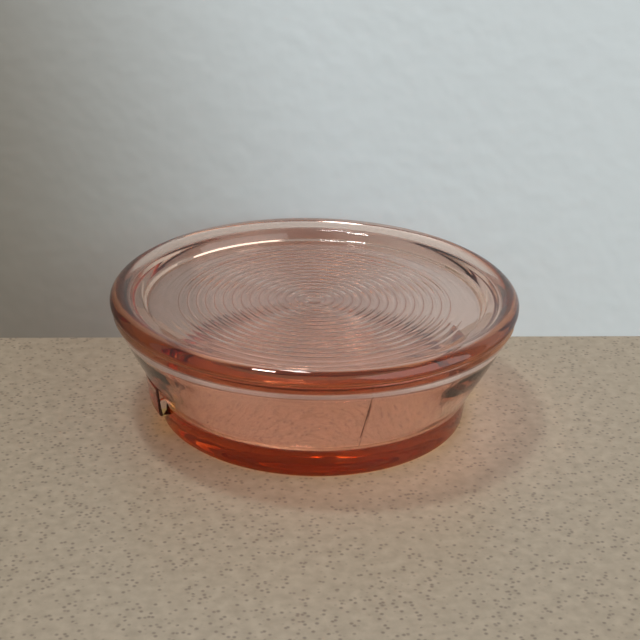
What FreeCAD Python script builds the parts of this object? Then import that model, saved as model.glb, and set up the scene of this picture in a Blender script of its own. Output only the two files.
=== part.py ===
import FreeCAD, Part
import Sketcher
import os

# A round pressed-glass covered dish: a flared bowl on a thick solid base, and a lid
# that sits on the bowl's rim and drops a shoulder inside its mouth.
# +Z is up, and the origin is the centre of the resting ring, on the table.

doc = FreeCAD.newDocument("CandyDish")

# Driving dimensions: lengths in millimetres, LugArc in degrees.
drivingSizes = {
    "FootRadius": (55.8, "outer radius of the foot at the table"),
    "FootTopRadius": (56.8, "outer radius of the foot where the wall starts"),
    "FootHeight": (10.0, "height of the foot band"),
    "FootRound": (0.7, "rounding of the foot's lower edge"),
    "UndersideDepth": (1.2, "depth of the recess under the base"),
    "RestRingWidth": (5.9, "width of the ring that the dish rests on"),
    "BaseThickness": (8.4, "glass between the underside recess and the inner floor"),
    "WallHeight": (28.6, "height of the flared wall, foot to rim"),
    "WallTopRadius": (71.9, "outer radius of the wall just below the rim"),
    "WallBulge": (320.0, "radius of the wall's gentle outward curve"),
    "WallThickness": (4.3, "level distance through the wall"),
    "InnerCornerRound": (5.0, "rounding between inner floor and wall"),
    "RimFlare": (0.6, "height over which the rim swells out of the wall"),
    "RimOverhang": (0.3, "how far the rim stands out from the wall"),
    "RimHeight": (2.8, "height of the upright part of the rim"),
    "RimWidth": (5.0, "width of the rim, mouth to outside"),
    "RimRound": (1.0, "rounding of the rim's outer edges"),
    "MouthRound": (0.9, "rounding of the mouth's inner edge"),
    "MouthDepth": (6.0, "depth of the straight mouth that the lid drops into"),
    "LidClearance": (0.8, "gap all round between the lid's shoulder and the mouth"),
    "LidOverhang": (0.8, "how far the lid stands out past the bowl's rim"),
    "LidRimHeight": (4.6, "height of the lid's rim above its seat"),
    "LidSkirtHeight": (1.8, "height of the lid's upright outer side above its seat"),
    "LidCrestWidth": (5.0, "level distance from the lid's outer side to its crest"),
    "LidCrestBulge": (4.4, "radius of the curve from the lid's outer side to its crest"),
    "LidEdgeRound": (1.0, "rounding at the ends of the lid's outer side"),
    "LidRimWidth": (11.6, "width of the lid's rim, recess to outside"),
    "RecessEdgeDrop": (2.4, "fall of the lid's rim from crest to recess"),
    "RecessDepth": (3.2, "depth of the recess in the lid"),
    "RecessSlope": (1.9, "how far the recess wall leans in"),
    "RecessRound": (0.8, "rounding of the recess's edges"),
    "DiscThickness": (3.0, "thickness of the lid's sunk disc"),
    "ShoulderRound": (1.0, "rounding of the lower edge of the lid's shoulder"),
    "RingPitch": (3.2, "distance between neighbouring pressed rings"),
    "RingSection": (1.4, "radius of a pressed ring's cross-section"),
    "RingRise": (0.25, "height of a pressed ring above the disc"),
    "FaintRingRise": (0.15, "height of the two worn outer rings"),
    "LugReach": (3.6, "how far a lug stands out past the foot's top"),
    "LugDrop": (3.7, "how far a lug reaches below the foot's top"),
    "LugRise": (7.3, "how far a lug runs up the wall"),
    "LugRoot": (3.7, "depth that a lug's section runs into the base"),
    "LugArc": (24.0, "angle that a lug spans round the dish"),
    "LugRound": (2.6, "rounding of a lug's upright edges"),
    "LugEdgeRound": (2.2, "rounding of a lug's lower edge"),
}
ringCount = 15
faintRingCount = 2
lugCount = 2
matchTolerance = 0.001

sheet = doc.addObject("Spreadsheet::Sheet", "Dimensions")
for row, (alias, (number, note)) in enumerate(drivingSizes.items(), start=1):
    sheet.set(f"A{row}", note)
    sheet.set(f"B{row}", str(number))
    sheet.setAlias(f"B{row}", alias)
doc.recompute()


class Size:
    # a number together with the sheet expression that drives it
    def __init__(self, value, expression):
        self.value = value
        self.expression = expression

    def __add__(self, other):
        return Size(self.value + other.value, f"{self.expression} + {other.expression}")

    def __sub__(self, other):
        return Size(self.value - other.value, f"{self.expression} - ({other.expression})")

    def __rmul__(self, count):
        return Size(count * self.value, f"{count} * ({self.expression})")


def size(alias):
    return Size(drivingSizes[alias][0], f"Dimensions.{alias}")


# Heights and radii that follow from the driving dimensions.
onFloor = None
onAxis = None
floorHeight = size("UndersideDepth") + size("BaseThickness")
wallTopHeight = size("FootHeight") + size("WallHeight")
rimLowHeight = wallTopHeight + size("RimFlare")
seatHeight = rimLowHeight + size("RimHeight")
rimRadius = size("WallTopRadius") + size("RimOverhang")
mouthRadius = rimRadius - size("RimWidth")
mouthFloorHeight = seatHeight - size("MouthDepth")
innerFloorRadius = size("FootTopRadius") - size("WallThickness")
restRingRadius = size("FootRadius") - size("RestRingWidth")
lidRadius = rimRadius + size("LidOverhang")
lidTopHeight = seatHeight + size("LidRimHeight")
lidSkirtTop = seatHeight + size("LidSkirtHeight")
crestRadius = lidRadius - size("LidCrestWidth")
recessEdgeRadius = lidRadius - size("LidRimWidth")
recessEdgeHeight = lidTopHeight - size("RecessEdgeDrop")
recessFloorRadius = recessEdgeRadius - size("RecessSlope")
discTopHeight = recessEdgeHeight - size("RecessDepth")
discBottomHeight = discTopHeight - size("DiscThickness")
shoulderRadius = mouthRadius - size("LidClearance")
lugRadius = size("FootTopRadius") + size("LugReach")
lugBaseHeight = size("FootHeight") - size("LugDrop")
lugTopHeight = size("FootHeight") + size("LugRise")
lugRootRadius = size("FootTopRadius") - size("LugRoot")


def newBody(label):
    body = doc.addObject("PartDesign::Body", label)
    body.Label = label
    body.Placement = FreeCAD.Placement()
    return body


def uprightSketch(body, name):
    # a sketch on the body's XZ plane: across is the radius, up is the height
    sketch = body.newObject("Sketcher::SketchObject", name)
    plane = next(feature for feature in body.Origin.OriginFeatures if feature.Role == "XZ_Plane")
    sketch.AttachmentSupport = [(plane, "")]
    sketch.MapMode = "FlatFace"
    return sketch


def bindPoint(sketch, geometry, end, radius, height):
    # ties one point to its radius and height; None means on the axis or on the floor
    for kind, distance, axis in (("DistanceX", radius, -2), ("DistanceY", height, -1)):
        if distance is None:
            sketch.addConstraint(Sketcher.Constraint("PointOnObject", geometry, end, axis))
            continue
        number = sketch.addConstraint(
            Sketcher.Constraint(kind, -1, 1, geometry, end, distance.value))
        sketch.setExpression(f"Constraints[{number}]", distance.expression)


def vector(corner):
    radius, height = corner
    return FreeCAD.Vector(radius.value if radius else 0, height.value if height else 0, 0)


def outlineSketch(body, name, corners, bulges=()):
    # a closed outline through the corners; bulges maps a corner's number to the radius
    # of the arc that leaves it, curving away from the axis
    sketch = uprightSketch(body, name)
    bulges = dict(bulges)
    starts = []
    ends = []
    for number, corner in enumerate(corners):
        first = vector(corner)
        last = vector(corners[(number + 1) % len(corners)])
        if number not in bulges:
            sketch.addGeometry(Part.LineSegment(first, last))
            starts.append(1)
            ends.append(2)
            continue
        chord = last - first
        sagitta = chord.Length ** 2 / (8 * bulges[number].value)
        outward = FreeCAD.Vector(chord.y, -chord.x, 0).normalize()
        middle = (first + last) * 0.5 + outward * sagitta
        arc = Part.ArcOfCircle(first, middle, last)
        startsHere = arc.StartPoint.distanceToPoint(first) < matchTolerance
        sketch.addGeometry(arc)
        starts.append(1 if startsHere else 2)
        ends.append(2 if startsHere else 1)
    for number, (radius, height) in enumerate(corners):
        before = (number - 1) % len(corners)
        sketch.addConstraint(Sketcher.Constraint(
            "Coincident", before, ends[before], number, starts[number]))
        bindPoint(sketch, number, starts[number], radius, height)
    for number, bulge in bulges.items():
        constraint = sketch.addConstraint(Sketcher.Constraint("Radius", number, bulge.value))
        sketch.setExpression(f"Constraints[{constraint}]", bulge.expression)
    return sketch


def revolve(body, name, sketch):
    # turns a sketch all the way round the Z axis
    solid = body.newObject("PartDesign::Revolution", name)
    solid.Profile = sketch
    solid.ReferenceAxis = (sketch, ["V_Axis"])
    solid.Angle = 360
    doc.recompute()
    return solid


def roundEdges(body, name, base, picked, radius):
    # rounds the edges of base that the picked test accepts
    edges = [f"Edge{number}" for number, edge in enumerate(base.Shape.Edges, start=1) if picked(edge)]
    if not edges:
        raise ValueError(f"{name} found no edge to round")
    rounded = body.newObject("PartDesign::Fillet", name)
    rounded.Base = (base, edges)
    rounded.Radius = radius.value
    rounded.setExpression("Radius", radius.expression)
    doc.recompute()
    return rounded


def circleAt(*places):
    # a test for the full circles at the given radii and heights
    def picked(edge):
        if not isinstance(edge.Curve, Part.Circle) or not edge.isClosed():
            return False
        for radius, height in places:
            atRadius = abs(edge.Curve.Radius - radius.value) < matchTolerance
            level = height.value if height else 0
            if atRadius and abs(edge.Curve.Center.z - level) < matchTolerance:
                return True
        return False
    return picked


# Bowl: one pressed casting with its foot, wall, rim and two lugs.
bowl = newBody("bowl")
wallStart = 4
bowlOutline = outlineSketch(bowl, "BowlOutline", [
    (onAxis, size("UndersideDepth")),
    (restRingRadius - size("UndersideDepth"), size("UndersideDepth")),
    (restRingRadius, onFloor),
    (size("FootRadius"), onFloor),
    (size("FootTopRadius"), size("FootHeight")),
    (size("WallTopRadius"), wallTopHeight),
    (rimRadius, rimLowHeight),
    (rimRadius, seatHeight),
    (mouthRadius, seatHeight),
    (mouthRadius, mouthFloorHeight),
    (innerFloorRadius, floorHeight),
    (onAxis, floorHeight),
], {wallStart: size("WallBulge")})
bowlShape = revolve(bowl, "BowlRevolution", bowlOutline)
bowlShape = roundEdges(bowl, "FootEdge", bowlShape,
                       circleAt((size("FootRadius"), onFloor)), size("FootRound"))
bowlShape = roundEdges(bowl, "InnerCorner", bowlShape,
                       circleAt((innerFloorRadius, floorHeight)), size("InnerCornerRound"))
bowlShape = roundEdges(bowl, "RimOuterEdges", bowlShape,
                       circleAt((rimRadius, seatHeight), (rimRadius, rimLowHeight)), size("RimRound"))
bowlShape = roundEdges(bowl, "MouthEdge", bowlShape,
                       circleAt((mouthRadius, seatHeight)), size("MouthRound"))

# Lugs: a section that leans against the wall, turned through a short arc.
lugOutline = outlineSketch(bowl, "LugOutline", [
    (lugRootRadius, lugBaseHeight),
    (lugRadius, lugBaseHeight),
    (lugRadius, lugTopHeight),
])
lug = bowl.newObject("PartDesign::Revolution", "Lug")
lug.Profile = lugOutline
lug.ReferenceAxis = (lugOutline, ["V_Axis"])
lug.Midplane = True
lug.setExpression("Angle", "Dimensions.LugArc")
doc.recompute()
lugs = bowl.newObject("PartDesign::PolarPattern", "Lugs")
lugs.Originals = [lug]
lugs.Axis = (lugOutline, ["V_Axis"])
lugs.Angle = 360
lugs.Occurrences = lugCount
bowl.Tip = lugs
doc.recompute()


def lugUpright(edge):
    # the four upright edges on the lugs' outer faces
    if not isinstance(edge.Curve, Part.Line):
        return False
    ends = [vertex.Point for vertex in edge.Vertexes]
    atLug = all(abs((end.x ** 2 + end.y ** 2) ** 0.5 - lugRadius.value) < matchTolerance for end in ends)
    return atLug and abs(ends[0].z - ends[1].z) > matchTolerance


def lugLower(edge):
    # the edges round the lugs' undersides, outer side only
    inside = edge.BoundBox
    level = abs(inside.ZMin - lugBaseHeight.value) + abs(inside.ZMax - lugBaseHeight.value)
    middle = edge.valueAt(0.5 * (edge.FirstParameter + edge.LastParameter))
    beyondFoot = (middle.x ** 2 + middle.y ** 2) ** 0.5 > lugRadius.value - matchTolerance
    return level < matchTolerance and beyondFoot


bowlShape = roundEdges(bowl, "LugUprights", lugs, lugUpright, size("LugRound"))
bowlShape = roundEdges(bowl, "LugLowerEdges", bowlShape, lugLower, size("LugEdgeRound"))
bowl.Tip = bowlShape

# Lid: one pressed casting with its rim, shoulder, sunk disc and concentric rings.
lid = newBody("lid")
crestStart = 4
lidOutline = outlineSketch(lid, "LidOutline", [
    (onAxis, discBottomHeight),
    (shoulderRadius, discBottomHeight),
    (shoulderRadius, seatHeight),
    (lidRadius, seatHeight),
    (lidRadius, lidSkirtTop),
    (crestRadius, lidTopHeight),
    (recessEdgeRadius, recessEdgeHeight),
    (recessFloorRadius, discTopHeight),
    (onAxis, discTopHeight),
], {crestStart: size("LidCrestBulge")})
lidShape = revolve(lid, "LidRevolution", lidOutline)
lidShape = roundEdges(lid, "LidOuterEdges", lidShape,
                      circleAt((lidRadius, seatHeight), (lidRadius, lidSkirtTop)), size("LidEdgeRound"))
lidShape = roundEdges(lid, "RecessEdges", lidShape,
                      circleAt((recessEdgeRadius, recessEdgeHeight), (recessFloorRadius, discTopHeight)),
                      size("RecessRound"))
lidShape = roundEdges(lid, "ShoulderEdge", lidShape,
                      circleAt((shoulderRadius, discBottomHeight)), size("ShoulderRound"))

# Rings: round sections sunk in the disc so that only their crowns stand proud.
ringOutline = uprightSketch(lid, "RingOutline")
for ringNumber in range(1, ringCount + faintRingCount + 1):
    rise = size("RingRise") if ringNumber <= ringCount else size("FaintRingRise")
    section = size("RingSection")
    ringRadius = ringNumber * size("RingPitch")
    ringHeight = discTopHeight + rise - section
    centre = vector((ringRadius, ringHeight))
    circle = ringOutline.addGeometry(Part.Circle(centre, FreeCAD.Vector(0, 0, 1), section.value))
    bindPoint(ringOutline, circle, 3, ringRadius, ringHeight)
    constraint = ringOutline.addConstraint(Sketcher.Constraint("Radius", circle, section.value))
    ringOutline.setExpression(f"Constraints[{constraint}]", section.expression)
lidShape = revolve(lid, "Rings", ringOutline)
lid.Tip = lidShape

# Every object has to be sound before anything is written.
doc.recompute()
for item in doc.Objects:
    if "Invalid" in item.State or "Error" in item.State:
        raise RuntimeError(f"{item.Label} failed: {item.State}")
os.makedirs("parts", exist_ok=True)
for body in (bowl, lid):
    if body.Shape.isNull() or not body.Shape.isValid():
        raise RuntimeError(f"{body.Label} has no sound shape")
    if len(body.Shape.Solids) != 1:
        raise RuntimeError(f"{body.Label} is {len(body.Shape.Solids)} solids")
for body in (bowl, lid):
    body.Shape.exportStep(f"parts/{body.Label}.step")
    box = body.Shape.optimalBoundingBox()
    print(f"{body.Label}: volume {body.Shape.Volume / 1000:.1f} ml of glass, "
          f"z {box.ZMin:.2f} to {box.ZMax:.2f}, across {box.XLength:.2f} x {box.YLength:.2f}")
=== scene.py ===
import math
import random
import bpy
from mathutils import Matrix, Vector


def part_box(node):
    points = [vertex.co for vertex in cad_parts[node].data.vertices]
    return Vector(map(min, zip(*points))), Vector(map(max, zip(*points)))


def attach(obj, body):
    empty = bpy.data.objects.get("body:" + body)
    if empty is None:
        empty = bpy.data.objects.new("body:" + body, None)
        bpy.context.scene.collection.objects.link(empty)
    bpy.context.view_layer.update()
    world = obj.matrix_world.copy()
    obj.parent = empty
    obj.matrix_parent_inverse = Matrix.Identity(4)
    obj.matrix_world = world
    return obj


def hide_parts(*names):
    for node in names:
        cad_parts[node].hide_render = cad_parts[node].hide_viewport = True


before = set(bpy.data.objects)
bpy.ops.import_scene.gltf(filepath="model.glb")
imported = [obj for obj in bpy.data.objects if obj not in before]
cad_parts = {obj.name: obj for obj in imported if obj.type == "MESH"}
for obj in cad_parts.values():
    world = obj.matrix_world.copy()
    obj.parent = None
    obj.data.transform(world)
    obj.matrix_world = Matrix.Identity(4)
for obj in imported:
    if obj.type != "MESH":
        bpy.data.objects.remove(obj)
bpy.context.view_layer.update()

_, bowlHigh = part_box("bowl")
_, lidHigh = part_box("lid")
lidRadius = lidHigh[0]                     # half the dish's width
seatHeight = bowlHigh[2]                   # where the lid rests on the bowl's rim
mm = 0.001
longestRun = 3.5 * mm                      # of a straight edge, before it is split
weldReach = 0.002 * mm
smoothAngle = 50
seedLength = (0.8, 1.6)                    # a bubble's length against its width
seedHeight = 0.8


def deselectEverything():
    if bpy.context.object and bpy.context.object.mode != "OBJECT":
        bpy.ops.object.mode_set(mode="OBJECT")
    bpy.ops.object.select_all(action="DESELECT")


def selectVerts(piece, wanted):
    # picks vertices by place, in edit mode, and says how many it found
    bpy.ops.mesh.select_all(action="DESELECT")
    bpy.ops.object.mode_set(mode="OBJECT")
    count = 0
    for vert in piece.data.vertices:
        if wanted(vert.co):
            vert.select = True
            count += 1
    bpy.ops.object.mode_set(mode="EDIT")
    return count


def nearPoint(x, z, reach=0.02 * mm):
    return lambda co: abs(co.x - x) < reach and abs(co.z - z) < reach


def arcPoints(centre, radius, start, end, count):
    # points along an arc in the XZ plane, angles in degrees from the X direction
    points = []
    for number in range(count + 1):
        angle = math.radians(start + (end - start) * number / count)
        points.append((centre[0] + radius * math.cos(angle), centre[1] + radius * math.sin(angle)))
    return points


def tracePath(name, corners):
    # one point, extruded from corner to corner in the XZ plane
    deselectEverything()
    bpy.ops.mesh.primitive_plane_add(size=mm)
    piece = bpy.context.object
    piece.name = name
    bpy.ops.object.mode_set(mode="EDIT")
    bpy.ops.mesh.select_mode(type="VERT")
    bpy.ops.mesh.select_all(action="SELECT")
    bpy.ops.mesh.merge(type="CENTER")
    here = Vector((corners[0][0], 0, corners[0][1]))
    bpy.ops.transform.translate(value=here)
    for x, z in corners[1:]:
        there = Vector((x, 0, z))
        bpy.ops.mesh.extrude_region_move(TRANSFORM_OT_translate={"value": there - here})
        here = there
    return piece


def roundCorners(piece, places, size, segments):
    # softens the path's corners at these places
    for x, z in places:
        if selectVerts(piece, nearPoint(x, z)):
            bpy.ops.mesh.bevel(offset=size, segments=segments, affect="VERTICES")


def cutLongRuns(piece, longest):
    # splits long edges of the path so that the glass can ripple along them
    for _ in range(7):
        bpy.ops.mesh.select_all(action="DESELECT")
        bpy.ops.object.mode_set(mode="OBJECT")
        mesh = piece.data
        found = False
        for edge in mesh.edges:
            a, b = (mesh.vertices[i].co for i in edge.vertices)
            if (a - b).length > longest:
                edge.select = True
                mesh.vertices[edge.vertices[0]].select = True
                mesh.vertices[edge.vertices[1]].select = True
                found = True
        bpy.ops.object.mode_set(mode="EDIT")
        bpy.ops.mesh.select_mode(type="EDGE")
        if not found:
            break
        bpy.ops.mesh.subdivide(number_cuts=1)
    bpy.ops.mesh.select_mode(type="VERT")


def spinPath(piece, steps):
    # turns the path all the way round the Z axis
    bpy.ops.mesh.select_all(action="SELECT")
    bpy.ops.mesh.spin(steps=steps, angle=2 * math.pi, center=(0, 0, 0), axis=(0, 0, 1),
                      use_auto_merge=True)
    bpy.ops.mesh.select_all(action="SELECT")
    bpy.ops.mesh.remove_doubles(threshold=weldReach)
    bpy.ops.mesh.normals_make_consistent(inside=False)
    bpy.ops.object.mode_set(mode="OBJECT")


def addSeeds(piece, seeds):
    # tiny air bubbles left in the glass: small shells that face inward
    dice = random.Random(seeds["pattern"])
    made = []
    for _ in range(seeds["count"]):
        radius = math.sqrt(dice.uniform(seeds["nearest"] ** 2, seeds["furthest"] ** 2))
        angle = dice.uniform(0, 2 * math.pi)
        height = dice.uniform(seeds["low"], seeds["high"])
        size = dice.uniform(seeds["smallest"], seeds["biggest"])
        deselectEverything()
        bpy.ops.mesh.primitive_uv_sphere_add(
            segments=16, ring_count=10, radius=size,
            location=(radius * math.cos(angle), radius * math.sin(angle), height))
        bubble = bpy.context.object
        bubble.scale = (dice.uniform(*seedLength), 1, seedHeight)
        bubble.rotation_euler.z = dice.uniform(0, math.pi)
        bpy.ops.object.transform_apply(location=True, rotation=True, scale=True)
        bpy.ops.object.mode_set(mode="EDIT")
        bpy.ops.mesh.select_all(action="SELECT")
        bpy.ops.mesh.flip_normals()
        bpy.ops.object.mode_set(mode="OBJECT")
        made.append(bubble)
    deselectEverything()
    for bubble in made:
        bubble.select_set(True)
    piece.select_set(True)
    bpy.context.view_layer.objects.active = piece
    bpy.ops.object.join()


def finishPiece(piece, node, ripple):
    # glass ripple sunk into the surface, smooth shading, and the CAD node it stands for
    clouds = bpy.data.textures.new(piece.name + "Ripple", "CLOUDS")
    clouds.noise_scale = ripple["size"]
    clouds.noise_depth = 1
    deselectEverything()
    piece.select_set(True)
    bpy.context.view_layer.objects.active = piece
    bpy.ops.object.modifier_add(type="DISPLACE")
    displace = piece.modifiers[-1]
    displace.texture = clouds
    displace.texture_coords = "LOCAL"
    displace.mid_level = 1
    displace.strength = ripple["depth"]
    bpy.ops.object.modifier_apply(modifier=displace.name)
    bpy.ops.object.shade_smooth_by_angle(angle=math.radians(smoothAngle))
    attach(piece, node)
    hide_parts(node)


glass = {
    "ior": 1.52,
    "shadow": (0.74, 0.71, 0.73, 1),
    "absorb": (6.2, 24.0, 38.0),           # red, green, blue taken out per metre of glass
    "rimPaintedShade": (0.42, 0.095, 0.03, 1),     # painted shade: a deeper, darker colour standing in for light that runs long through the thick rims
    "rimFrom": 68.4 * mm,
    "rimTo": 70.4 * mm,
    "rimSides": 2.4 * mm,                  # how much further in that painted shade comes at the sides
    "sidesPower": 4,
    "rimLow": 38.9 * mm,
    "rimFade": 0.6 * mm,
    "footPaintedTint": (1.0, 1.0, 0.30, 1),       # painted deeper orange, standing in for light that runs long through the thick foot
    "footEdge": (54.6 * mm, 55.4 * mm),
    "footTop": 9.6 * mm,
    "footFade": 0.5 * mm,
    "ringShadeTint": (0.50, 0.24, 0.18, 1),     # painted shade: a fine dark line beside each pressed ring
    "linePitch": 3.2 * mm,
    "linePlace": 0.26,                     # the line's place between two rings, as a share
    "lineEdges": (0.02, 0.09),
    "lineHeights": (40.5 * mm, 40.7 * mm),
    "lineInside": (2.0 * mm, 2.4 * mm),
    "lineOutside": (50.2 * mm, 50.8 * mm),
    "densityRoom": 1.2,                    # keeps every colour of the volume above zero
    "driftScale": 14,
    "hazeScale": 60,
    "hazeRange": (0.45, 0.75),
    "rippleScale": 90,
    "roughLeast": 0.0,
    "roughMost": 0.035,
    "wornRough": 0.06,
    "seamHeight": 0.12 * mm,               # the line left where the mould's halves met
    "seamWidth": 0.35 * mm,
    "seamFrom": (56 * mm, 57 * mm),
    "scratchScale": 900,
    "scratchStretch": (1, 0.06, 1),
    "scratchTurn": 0.9,
    "scratchRange": (0.66, 0.72),
    "scratchHeight": 0.002 * mm,
}


def glassMaterial(name, look):
    # clear pink glass; its colour comes from the depth of glass that the light crosses, and from painted
    # shade at the rims, foot and rings
    material = bpy.data.materials.new(name)
    material.use_nodes = True
    nodes = material.node_tree.nodes
    links = material.node_tree.links
    nodes.clear()

    def node(kind, **values):
        made = nodes.new(kind)
        for socket, value in values.items():
            made.inputs[socket.replace("_", " ")].default_value = value
        return made

    def calc(operation, first, second=None):
        step = nodes.new("ShaderNodeMath")
        step.operation = operation
        for number, value in enumerate((first, second)):
            if isinstance(value, (int, float)):
                step.inputs[number].default_value = value
            elif value is not None:
                links.new(value, step.inputs[number])
        return step.outputs[0]

    def ramp(value, low, high, toLow=0.0, toHigh=1.0):
        step = node("ShaderNodeMapRange", From_Min=low, From_Max=high, To_Min=toLow, To_Max=toHigh)
        links.new(value, step.inputs["Value"])
        return step.outputs["Result"]

    output = nodes.new("ShaderNodeOutputMaterial")
    shader = node("ShaderNodeBsdfPrincipled", Transmission_Weight=1, IOR=glass["ior"])
    # light on its way to the counter passes through, so the dish throws a pale shadow
    pale = node("ShaderNodeBsdfTransparent", Color=glass["shadow"])
    path = nodes.new("ShaderNodeLightPath")
    either = nodes.new("ShaderNodeMixShader")
    links.new(path.outputs["Is Shadow Ray"], either.inputs["Fac"])
    links.new(shader.outputs["BSDF"], either.inputs[1])
    links.new(pale.outputs["BSDF"], either.inputs[2])
    links.new(either.outputs["Shader"], output.inputs["Surface"])
    density = max(glass["absorb"]) * glass["densityRoom"]
    body = node("ShaderNodeVolumeAbsorption", Density=density,
                Color=tuple(1 - a / density for a in glass["absorb"]) + (1,))
    links.new(body.outputs["Volume"], output.inputs["Volume"])
    place = nodes.new("ShaderNodeTexCoord")
    apart = nodes.new("ShaderNodeSeparateXYZ")
    links.new(place.outputs["Object"], apart.inputs["Vector"])
    x, y, z = (apart.outputs[axis] for axis in "XYZ")
    radius = calc("SQRT", calc("ADD", calc("MULTIPLY", x, x), calc("MULTIPLY", y, y)))
    # faint tint drift, as in a batch of old glass, and painted deeper colour at the rims and foot
    drift = node("ShaderNodeTexNoise", Scale=glass["driftScale"], Detail=2)
    tint = nodes.new("ShaderNodeValToRGB")
    tint.color_ramp.elements[0].color = look["deepTint"]
    tint.color_ramp.elements[1].color = look["paleTint"]
    links.new(place.outputs["Object"], drift.inputs["Vector"])
    links.new(drift.outputs["Fac"], tint.inputs["Fac"])
    face = nodes.new("ShaderNodeNewGeometry")
    goingIn = calc("SUBTRACT", 1, face.outputs["Backfacing"])

    # mixes in a painted colour, only on faces where light goes into the glass
    def withPaintedColour(base, colour, amount):
        step = nodes.new("ShaderNodeMix")
        step.data_type = "RGBA"
        step.inputs[7].default_value = colour
        links.new(base, step.inputs[6])
        links.new(calc("MULTIPLY", amount, goingIn), step.inputs["Factor"])
        return step.outputs[2]

    # painted shade: a fine dark line beside each pressed ring, standing in for the dark edge the ring shows
    # in the glass
    around = calc("FRACT", calc("DIVIDE", radius, glass["linePitch"]))
    away = calc("ABSOLUTE", calc("SUBTRACT", around, glass["linePlace"]))
    line = ramp(away, *glass["lineEdges"], look["ringShadeAmount"], 0)
    line = calc("MULTIPLY", line, ramp(z, *glass["lineHeights"]))
    line = calc("MULTIPLY", line, calc("MULTIPLY", ramp(radius, *glass["lineInside"]),
                                       ramp(radius, *glass["lineOutside"], 1, 0)))
    colour = withPaintedColour(tint.outputs["Color"], glass["ringShadeTint"], line)
    # painted shade at the rim; it reaches further in at the sides along X
    sides = calc("POWER", calc("DIVIDE", calc("ABSOLUTE", x), calc("MAXIMUM", radius, mm)),
                 glass["sidesPower"])
    wider = calc("ADD", radius, calc("MULTIPLY", sides, glass["rimSides"]))
    atRim = calc("MULTIPLY", ramp(wider, glass["rimFrom"], glass["rimTo"]),
                 ramp(z, glass["rimLow"], glass["rimLow"] + glass["rimFade"]))
    colour = withPaintedColour(colour, glass["rimPaintedShade"], atRim)
    # painted deeper orange round the foot's outside, for light that runs long through it
    atFoot = calc("MULTIPLY", ramp(radius, *glass["footEdge"]),
                  ramp(z, glass["footTop"], glass["footTop"] + glass["footFade"], 1, 0))
    links.new(withPaintedColour(colour, glass["footPaintedTint"], atFoot), shader.inputs["Base Color"])
    # hand-worn gloss: mostly clear, a little hazier in patches, rubbed where it stands
    haze = node("ShaderNodeTexNoise", Scale=glass["hazeScale"], Detail=6)
    links.new(place.outputs["Object"], haze.inputs["Vector"])
    gloss = ramp(haze.outputs["Fac"], *glass["hazeRange"], glass["roughLeast"], glass["roughMost"])
    worn = ramp(z, look["wearFrom"], look["wearTo"])
    rubbed = calc("MULTIPLY", worn, glass["wornRough"])
    links.new(calc("MAXIMUM", gloss, rubbed), shader.inputs["Roughness"])
    # pressed-glass ripple, the mould's seam and fine scratches
    wave = node("ShaderNodeTexNoise", Scale=glass["rippleScale"], Detail=3)
    links.new(place.outputs["Object"], wave.inputs["Vector"])
    seam = ramp(calc("ABSOLUTE", x), 0, glass["seamWidth"], glass["seamHeight"], 0)
    seamHere = calc("MULTIPLY", calc("MULTIPLY", seam, look["seams"]), ramp(radius, *glass["seamFrom"]))
    scratch = node("ShaderNodeTexNoise", Scale=glass["scratchScale"], Detail=2)
    stretch = nodes.new("ShaderNodeMapping")
    stretch.inputs["Scale"].default_value = glass["scratchStretch"]
    stretch.inputs["Rotation"].default_value = (0, 0, glass["scratchTurn"])
    links.new(place.outputs["Object"], stretch.inputs["Vector"])
    links.new(stretch.outputs["Vector"], scratch.inputs["Vector"])
    lines = ramp(scratch.outputs["Fac"], *glass["scratchRange"], 0, glass["scratchHeight"])
    height = calc("ADD", calc("MULTIPLY", wave.outputs["Fac"], look["waves"]),
                  calc("ADD", seamHere, lines))
    bump = node("ShaderNodeBump", Strength=1, Distance=1)
    links.new(height, bump.inputs["Height"])
    links.new(bump.outputs["Normal"], shader.inputs["Normal"])
    return material


bowl = {
    "footRadius": 55.8 * mm,
    "footTopRadius": 56.8 * mm,
    "footHeight": 10.0 * mm,
    "ringInner": 49.9 * mm,                # inner radius of the ring it rests on
    "underside": 1.2 * mm,
    "undersideSlope": 7.0 * mm,            # level run of the slope into that shallow recess
    "floor": 9.6 * mm,
    "innerFloorRadius": 52.5 * mm,
    "midRadius": 64.7 * mm,                # the wall's gentle swell
    "midHeight": 24.1 * mm,
    "wallTopRadius": 71.9 * mm,
    "wallTopHeight": 38.6 * mm,
    "rimLow": 39.2 * mm,
    "rimWidth": 5.0 * mm,
    "mouthDepth": 6.0 * mm,
    "steps": 288,
    "rounds": {"middle": (7.0 * mm, 8), "floorInner": (3.2 * mm, 8), "rimOuter": (1.0 * mm, 6),
               "mouth": (0.9 * mm, 5), "foot": (0.6 * mm, 5), "mouthLow": (1.2 * mm, 4),
               "footTop": (0.8 * mm, 4), "underside": (0.5 * mm, 3), "rimUnder": (0.2 * mm, 2)},
    "ripple": {"size": 18 * mm, "depth": 0.10 * mm},
    "look": {"deepTint": (0.925, 0.86, 0.855, 1), "paleTint": (0.96, 0.905, 0.90, 1),
             "wearFrom": 0.15 * mm, "wearTo": 0.0, "seams": 1, "waves": 0.03 * mm, "ringShadeAmount": 0},
    "seeds": {"count": 9, "pattern": 4, "nearest": 10 * mm, "furthest": 50 * mm,
              "low": 3 * mm, "high": 8 * mm, "smallest": 0.12 * mm, "biggest": 0.3 * mm},
}
lug = {
    "radius": 60.2 * mm,
    "topRadius": 61.6 * mm,                # its face leans out with the wall
    "root": 54.0 * mm,
    "topRoot": 59.4 * mm,                  # inside the wall's own glass
    "base": 6.3 * mm,
    "top": 18.0 * mm,
    "arc": 24,                             # degrees that it spans round the dish
    "edge": 3.0 * mm,
    "edgeSegments": 8,
    "sharpest": 40,                        # degrees, above which an edge is softened
    "steps": 12,
}


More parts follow.
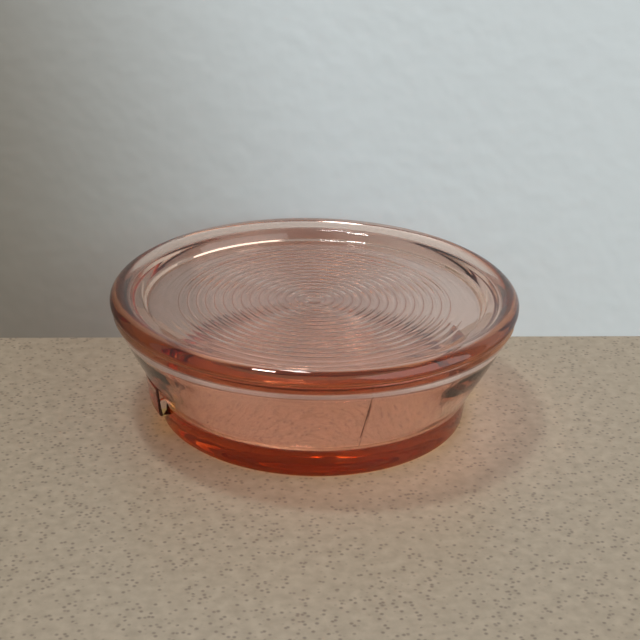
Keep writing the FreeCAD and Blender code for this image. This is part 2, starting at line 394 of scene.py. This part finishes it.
def makeLug(turn):
    # a section closed into a face, spun through a short arc, its edges softened
    g = lug
    piece = tracePath("lug", [(g["root"], g["base"]), (g["radius"], g["base"]),
                              (g["topRadius"], g["top"]), (g["topRoot"], g["top"])])
    bpy.ops.mesh.select_all(action="SELECT")
    bpy.ops.mesh.edge_face_add()
    bpy.ops.mesh.select_all(action="SELECT")
    bpy.ops.mesh.spin(steps=g["steps"], angle=math.radians(g["arc"]), center=(0, 0, 0), axis=(0, 0, 1))
    bpy.ops.mesh.select_all(action="SELECT")
    bpy.ops.mesh.remove_doubles(threshold=weldReach)
    bpy.ops.mesh.normals_make_consistent(inside=False)
    bpy.ops.object.mode_set(mode="OBJECT")
    bpy.ops.object.modifier_add(type="BEVEL")
    soften = piece.modifiers[-1]
    soften.width = g["edge"]
    soften.segments = g["edgeSegments"]
    soften.limit_method = "ANGLE"
    soften.angle_limit = math.radians(g["sharpest"])
    bpy.ops.object.modifier_apply(modifier=soften.name)
    first = min(math.atan2(vert.co.y, vert.co.x) for vert in piece.data.vertices)
    last = max(math.atan2(vert.co.y, vert.co.x) for vert in piece.data.vertices)
    piece.rotation_euler.z = turn - (first + last) / 2
    bpy.ops.object.transform_apply(location=True, rotation=True, scale=True)
    return piece


def uniteWith(piece, other):
    # welds the other solid into the piece
    deselectEverything()
    piece.select_set(True)
    bpy.context.view_layer.objects.active = piece
    bpy.ops.object.modifier_add(type="BOOLEAN")
    weld = piece.modifiers[-1]
    weld.operation = "UNION"
    weld.solver = "EXACT"
    weld.object = other
    bpy.ops.object.modifier_apply(modifier=weld.name)
    deselectEverything()
    other.select_set(True)
    bpy.ops.object.delete()


def makeBowl():
    b = bowl
    rounds = b["rounds"]
    rimRadius = bowlHigh[0]
    mouthRadius = rimRadius - b["rimWidth"]
    floorInner = (b["innerFloorRadius"], b["floor"])
    foot = (b["footRadius"], 0)
    rimOuter = (rimRadius, seatHeight)
    rimUnder = (rimRadius, b["rimLow"])
    wallTop = (b["wallTopRadius"], b["wallTopHeight"])
    middle = (b["midRadius"], b["midHeight"])
    mouth = (mouthRadius, seatHeight)
    mouthLow = (mouthRadius, seatHeight - b["mouthDepth"])
    footTop = (b["footTopRadius"], b["footHeight"])
    ringInner = (b["ringInner"], 0)
    recess = (b["ringInner"] - b["undersideSlope"], b["underside"])
    piece = tracePath("bowlGlass", [
        (0, b["underside"]), recess, ringInner, foot, footTop, middle, wallTop, rimUnder,
        rimOuter, mouth, mouthLow, floorInner, (0, b["floor"]),
    ])
    roundCorners(piece, [middle], *rounds["middle"])
    roundCorners(piece, [floorInner], *rounds["floorInner"])
    roundCorners(piece, [rimOuter], *rounds["rimOuter"])
    roundCorners(piece, [mouth], *rounds["mouth"])
    roundCorners(piece, [foot], *rounds["foot"])
    roundCorners(piece, [mouthLow], *rounds["mouthLow"])
    roundCorners(piece, [footTop], *rounds["footTop"])
    roundCorners(piece, [ringInner, recess], *rounds["underside"])
    roundCorners(piece, [wallTop, rimUnder], *rounds["rimUnder"])
    cutLongRuns(piece, longestRun)
    spinPath(piece, b["steps"])
    for turn in (0, math.pi):
        uniteWith(piece, makeLug(turn))
    addSeeds(piece, b["seeds"])
    return piece


lid = {
    "seatGap": 0.12 * mm,                  # air between the lid's seat and the bowl's rim
    "crestHeight": 46.6 * mm,
    "crestCentre": (68.87 * mm, 42.29 * mm),
    "crestBulge": 4.4 * mm,
    "crestArc": (98.5, 20, 12),            # from and to, in degrees, and the number of steps
    "rimWidth": 11.6 * mm,
    "edgeDrop": 2.4 * mm,
    "recessDepth": 3.2 * mm,
    "recessSlope": 1.9 * mm,
    "discThickness": 3.0 * mm,
    "shoulderRadius": 66.4 * mm,
    "ringPitch": 3.2 * mm,
    "ringWidth": 1.5 * mm,
    "ringRise": 0.23 * mm,
    "faintRise": 0.10 * mm,
    "ringCount": 15,
    "faintCount": 2,
    "steps": 288,
    "rounds": {"crown": (0.4 * mm, 4), "ringFoot": (0.25 * mm, 2), "recess": (0.9 * mm, 6),
               "outerSeat": (1.0 * mm, 6), "innerSeat": (0.5 * mm, 3), "shoulder": (1.0 * mm, 5)},
    "ripple": {"size": 18 * mm, "depth": 0.06 * mm},
    "look": {"deepTint": (0.90, 0.81, 0.785, 1), "paleTint": (0.94, 0.865, 0.84, 1),
             "wearFrom": 1.0, "wearTo": 1.1, "seams": 0, "waves": 0.010 * mm, "ringShadeAmount": 1},
    "seeds": {"count": 14, "pattern": 11, "nearest": 6 * mm, "furthest": 58 * mm,
              "low": 38.8 * mm, "high": 40.4 * mm, "smallest": 0.12 * mm, "biggest": 0.32 * mm},
}


def makeLid():
    d = lid
    rounds = d["rounds"]
    seat = seatHeight + d["seatGap"]
    outerSeat = (lidRadius, seat)
    innerSeat = (d["shoulderRadius"], seat)
    crest = arcPoints(d["crestCentre"], d["crestBulge"], *d["crestArc"])
    recessEdge = (lidRadius - d["rimWidth"], d["crestHeight"] - d["edgeDrop"])
    discTop = recessEdge[1] - d["recessDepth"]
    recessFloor = (recessEdge[0] - d["recessSlope"], discTop)
    discBottom = discTop - d["discThickness"]
    shoulderLow = (d["shoulderRadius"], discBottom)
    path = [(0, discTop)]
    crowns = []
    feet = []
    for number in range(1, d["ringCount"] + d["faintCount"] + 1):
        radius = number * d["ringPitch"]
        rise = d["ringRise"] if number <= d["ringCount"] else d["faintRise"]
        half = d["ringWidth"] / 2
        crown = (radius, discTop + rise)
        path += [(radius - half, discTop), crown, (radius + half, discTop)]
        crowns.append(crown)
        feet += [path[-3], path[-1]]
    path += [recessFloor, recessEdge] + crest + [outerSeat, innerSeat, shoulderLow, (0, discBottom)]
    piece = tracePath("lidGlass", path)
    roundCorners(piece, crowns, *rounds["crown"])
    roundCorners(piece, feet, *rounds["ringFoot"])
    roundCorners(piece, [recessFloor, recessEdge], *rounds["recess"])
    roundCorners(piece, [outerSeat], *rounds["outerSeat"])
    roundCorners(piece, [innerSeat], *rounds["innerSeat"])
    roundCorners(piece, [shoulderLow], *rounds["shoulder"])
    cutLongRuns(piece, longestRun)
    spinPath(piece, d["steps"])
    addSeeds(piece, d["seeds"])
    return piece


bowlPiece = makeBowl()
finishPiece(bowlPiece, "bowl", bowl["ripple"])
bowlPiece.data.materials.clear()
bowlPiece.data.materials.append(glassMaterial("bowlPinkGlass", bowl["look"]))
print("bowl spun and its lugs welded on:", len(bowlPiece.data.polygons), "faces")

lidPiece = makeLid()
finishPiece(lidPiece, "lid", lid["ripple"])
lidPiece.data.materials.clear()
lidPiece.data.materials.append(glassMaterial("lidPinkGlass", lid["look"]))
print("lid spun:", len(lidPiece.data.polygons), "faces")


stageSizes = {
    "reach": 3.0,
    "wallBehind": 56.5 * mm,               # where the wall meets the counter, behind the axis
    "wallLean": 23,                        # degrees that it leans away from the dish
    "wallTurn": 3.5,                       # degrees off square with the camera
    "counterColour": (0.38, 0.31, 0.225, 1),
    "counterDark": (0.20, 0.16, 0.11, 1),
    "speckColour": (0.16, 0.12, 0.085, 1),
    "counterRough": 0.35,
    "fleckScale": 560,
    "fleckSizes": (0.14, 0.46),
    "fleckShare": 0.5,
    "mottleScale": 260,
    "wallShade": (0.22, 0.20, 0.16, 1),    # the wall's colour to the left, in shade
    "wallColour": (0.61, 0.67, 0.68, 1),
    "shadeFrom": -0.11,                    # across the wall, in metres, a little more with height
    "shadeTo": 0.07,
    "shadeRise": 0.28,
    "wallRough": 0.7,
    "dimpleScale": 120,
    "dimpleDepth": 0.35 * mm,
    "floorGap": 0.1 * mm,
}
viewAngle = {
    "azimuth": -16.0,
    "elevation": 24.4,
    "distance": 0.5169,
    "aimHeight": 0.030,
    "lens": 80.1,
    "sensor": 36,
    "nearest": 0.01,
    "roll": 1.42,
    "right": 2.1 * mm,                     # where the lens points, beside and above the aim
    "up": 2.63 * mm,
}


def stoneMaterial():
    # warm pale stone with small dark flecks
    material = bpy.data.materials.new("counterStone")
    material.use_nodes = True
    nodes = material.node_tree.nodes
    links = material.node_tree.links
    shader = nodes["Principled BSDF"]
    shader.inputs["Roughness"].default_value = stageSizes["counterRough"]
    place = nodes.new("ShaderNodeTexCoord")
    cells = nodes.new("ShaderNodeTexVoronoi")
    cells.inputs["Scale"].default_value = stageSizes["fleckScale"]
    fleck = nodes.new("ShaderNodeMapRange")
    fleck.inputs["From Min"].default_value, fleck.inputs["From Max"].default_value = stageSizes["fleckSizes"]
    fleck.inputs["To Min"].default_value = 1
    fleck.inputs["To Max"].default_value = 0
    few = nodes.new("ShaderNodeMath")
    few.operation = "GREATER_THAN"
    few.inputs[1].default_value = stageSizes["fleckShare"]
    both = nodes.new("ShaderNodeMath")
    both.operation = "MULTIPLY"
    colour = nodes.new("ShaderNodeMix")
    colour.data_type = "RGBA"
    colour.inputs[7].default_value = stageSizes["speckColour"]
    mottle = nodes.new("ShaderNodeTexNoise")
    mottle.inputs["Scale"].default_value = stageSizes["mottleScale"]
    mottle.inputs["Detail"].default_value = 5
    shade = nodes.new("ShaderNodeMix")
    shade.data_type = "RGBA"
    shade.inputs[6].default_value = stageSizes["counterDark"]
    shade.inputs[7].default_value = stageSizes["counterColour"]
    links.new(place.outputs["Object"], mottle.inputs["Vector"])
    links.new(mottle.outputs["Fac"], shade.inputs["Factor"])
    links.new(shade.outputs[2], colour.inputs[6])
    links.new(place.outputs["Object"], cells.inputs["Vector"])
    links.new(cells.outputs["Distance"], fleck.inputs["Value"])
    links.new(cells.outputs["Color"], few.inputs[0])
    links.new(fleck.outputs["Result"], both.inputs[0])
    links.new(few.outputs[0], both.inputs[1])
    links.new(both.outputs[0], colour.inputs["Factor"])
    links.new(colour.outputs[2], shader.inputs["Base Color"])
    return material


def paintMaterial():
    # matt wall paint with a rolled texture and painted shade, darker to the left and lower down; only its
    # front is seen
    material = bpy.data.materials.new("wallPaint")
    material.use_nodes = True
    nodes = material.node_tree.nodes
    links = material.node_tree.links
    shader = nodes["Principled BSDF"]
    shader.inputs["Roughness"].default_value = stageSizes["wallRough"]
    place = nodes.new("ShaderNodeTexCoord")
    apart = nodes.new("ShaderNodeSeparateXYZ")
    # painted shade: the colour goes from the shaded colour on the left to the lit colour on the right, and
    # lightens a little with height
    fade = nodes.new("ShaderNodeMapRange")
    fade.interpolation_type = "SMOOTHSTEP"
    fade.inputs["From Min"].default_value = stageSizes["shadeFrom"]
    fade.inputs["From Max"].default_value = stageSizes["shadeTo"]
    paint = nodes.new("ShaderNodeMix")
    paint.data_type = "RGBA"
    paint.inputs[6].default_value = stageSizes["wallShade"]
    paint.inputs[7].default_value = stageSizes["wallColour"]
    links.new(place.outputs["Object"], apart.inputs["Vector"])
    rise = nodes.new("ShaderNodeMath")
    rise.operation = "MULTIPLY_ADD"
    rise.inputs[1].default_value = stageSizes["shadeRise"]
    links.new(apart.outputs["Z"], rise.inputs[0])
    links.new(apart.outputs["X"], rise.inputs[2])
    links.new(rise.outputs[0], fade.inputs["Value"])
    links.new(fade.outputs["Result"], paint.inputs["Factor"])
    links.new(paint.outputs[2], shader.inputs["Base Color"])
    dimple = nodes.new("ShaderNodeTexNoise")
    dimple.inputs["Scale"].default_value = stageSizes["dimpleScale"]
    dimple.inputs["Detail"].default_value = 1
    bump = nodes.new("ShaderNodeBump")
    bump.inputs["Distance"].default_value = stageSizes["dimpleDepth"]
    links.new(place.outputs["Object"], dimple.inputs["Vector"])
    links.new(dimple.outputs["Fac"], bump.inputs["Height"])
    links.new(bump.outputs["Normal"], shader.inputs["Normal"])
    face = nodes.new("ShaderNodeNewGeometry")
    clear = nodes.new("ShaderNodeBsdfTransparent")
    side = nodes.new("ShaderNodeMixShader")
    links.new(face.outputs["Backfacing"], side.inputs["Fac"])
    links.new(shader.outputs["BSDF"], side.inputs[1])
    links.new(clear.outputs["BSDF"], side.inputs[2])
    links.new(side.outputs["Shader"], nodes["Material Output"].inputs["Surface"])
    return material


def turned(vector, degrees):
    return Matrix.Rotation(math.radians(degrees), 3, "Z") @ Vector(vector)


def makeStage():
    deselectEverything()
    s = stageSizes
    azimuth = viewAngle["azimuth"] + s["wallTurn"]
    reach = s["reach"]
    bpy.ops.mesh.primitive_plane_add(size=reach, location=(0, 0, -s["floorGap"]))
    counter = bpy.context.object
    counter.name = "counter"
    bpy.ops.object.transform_apply(location=True, rotation=True, scale=True)
    counter.data.materials.append(stoneMaterial())
    lean = math.radians(s["wallLean"])
    middle = (0, s["wallBehind"] + math.sin(lean) * reach / 2, math.cos(lean) * reach / 2 - s["floorGap"])
    bpy.ops.mesh.primitive_plane_add(size=reach, location=turned(middle, azimuth),
                                     rotation=(math.radians(90) - lean, 0, math.radians(azimuth)))
    wall = bpy.context.object
    wall.name = "wall"
    bpy.ops.object.transform_apply(location=True, rotation=True, scale=True)
    wall.data.materials.append(paintMaterial())


lamps = {
    "ceilingLamp": {"place": (-0.24, 0.05, 1.1), "aim": (0, 0, 0), "size": (0.12, 0.12), "power": 6.0},
    "windowRight": {"place": (0.9, -0.45, 0.6), "aim": (0.05, 0.05, 0.05), "size": (1.2, 1.1), "power": 7},
    "backStrip": {"place": (-0.045, 0.30, 0.85), "aim": (0, 0, 0.04), "size": (0.05, 0.25), "power": 0.9},
}
roomGlow = 0.38
roomColour = (0.97, 0.98, 1.0, 1)


def makeLights():
    for name, data in lamps.items():
        lamp = bpy.data.lights.new(name, "AREA")
        lamp.shape = "RECTANGLE"
        lamp.size, lamp.size_y = data["size"]
        lamp.energy = data["power"]
        holder = bpy.data.objects.new(name, lamp)
        bpy.context.scene.collection.objects.link(holder)
        holder.location = turned(data["place"], viewAngle["azimuth"])
        toAim = turned(data["aim"], viewAngle["azimuth"]) - holder.location
        holder.rotation_euler = toAim.to_track_quat("-Z", "Y").to_euler()
    world = bpy.data.worlds.new("softRoom")
    world.use_nodes = True
    world.node_tree.nodes["Background"].inputs["Color"].default_value = roomColour
    world.node_tree.nodes["Background"].inputs["Strength"].default_value = roomGlow
    bpy.context.scene.world = world


def makeCamera():
    v = viewAngle
    elevation = math.radians(v["elevation"])
    target = Vector((0, 0, v["aimHeight"]))
    back = Vector((0, -math.cos(elevation), math.sin(elevation)))
    up = Vector((0, math.sin(elevation), math.cos(elevation)))
    place = turned(target + back * v["distance"], v["azimuth"])
    aim = turned(target + Vector((v["right"], 0, 0)) + up * v["up"], v["azimuth"])
    camera = bpy.data.cameras.new("camera")
    camera.lens = v["lens"]
    camera.sensor_width = v["sensor"]
    camera.clip_start = v["nearest"]
    holder = bpy.data.objects.new("camera", camera)
    bpy.context.scene.collection.objects.link(holder)
    facing = (aim - place).to_track_quat("-Z", "Y").to_matrix()
    holder.rotation_euler = (facing @ Matrix.Rotation(math.radians(v["roll"]), 3, "Z")).to_euler()
    holder.location = place
    bpy.context.scene.camera = holder


makeStage()
makeLights()
makeCamera()
scene = bpy.context.scene
scene.view_settings.view_transform = "Standard"
scene.cycles.max_bounces = 28
scene.cycles.transmission_bounces = 28
scene.cycles.glossy_bounces = 12
scene.cycles.diffuse_bounces = 6
print("stage, lights and camera set")
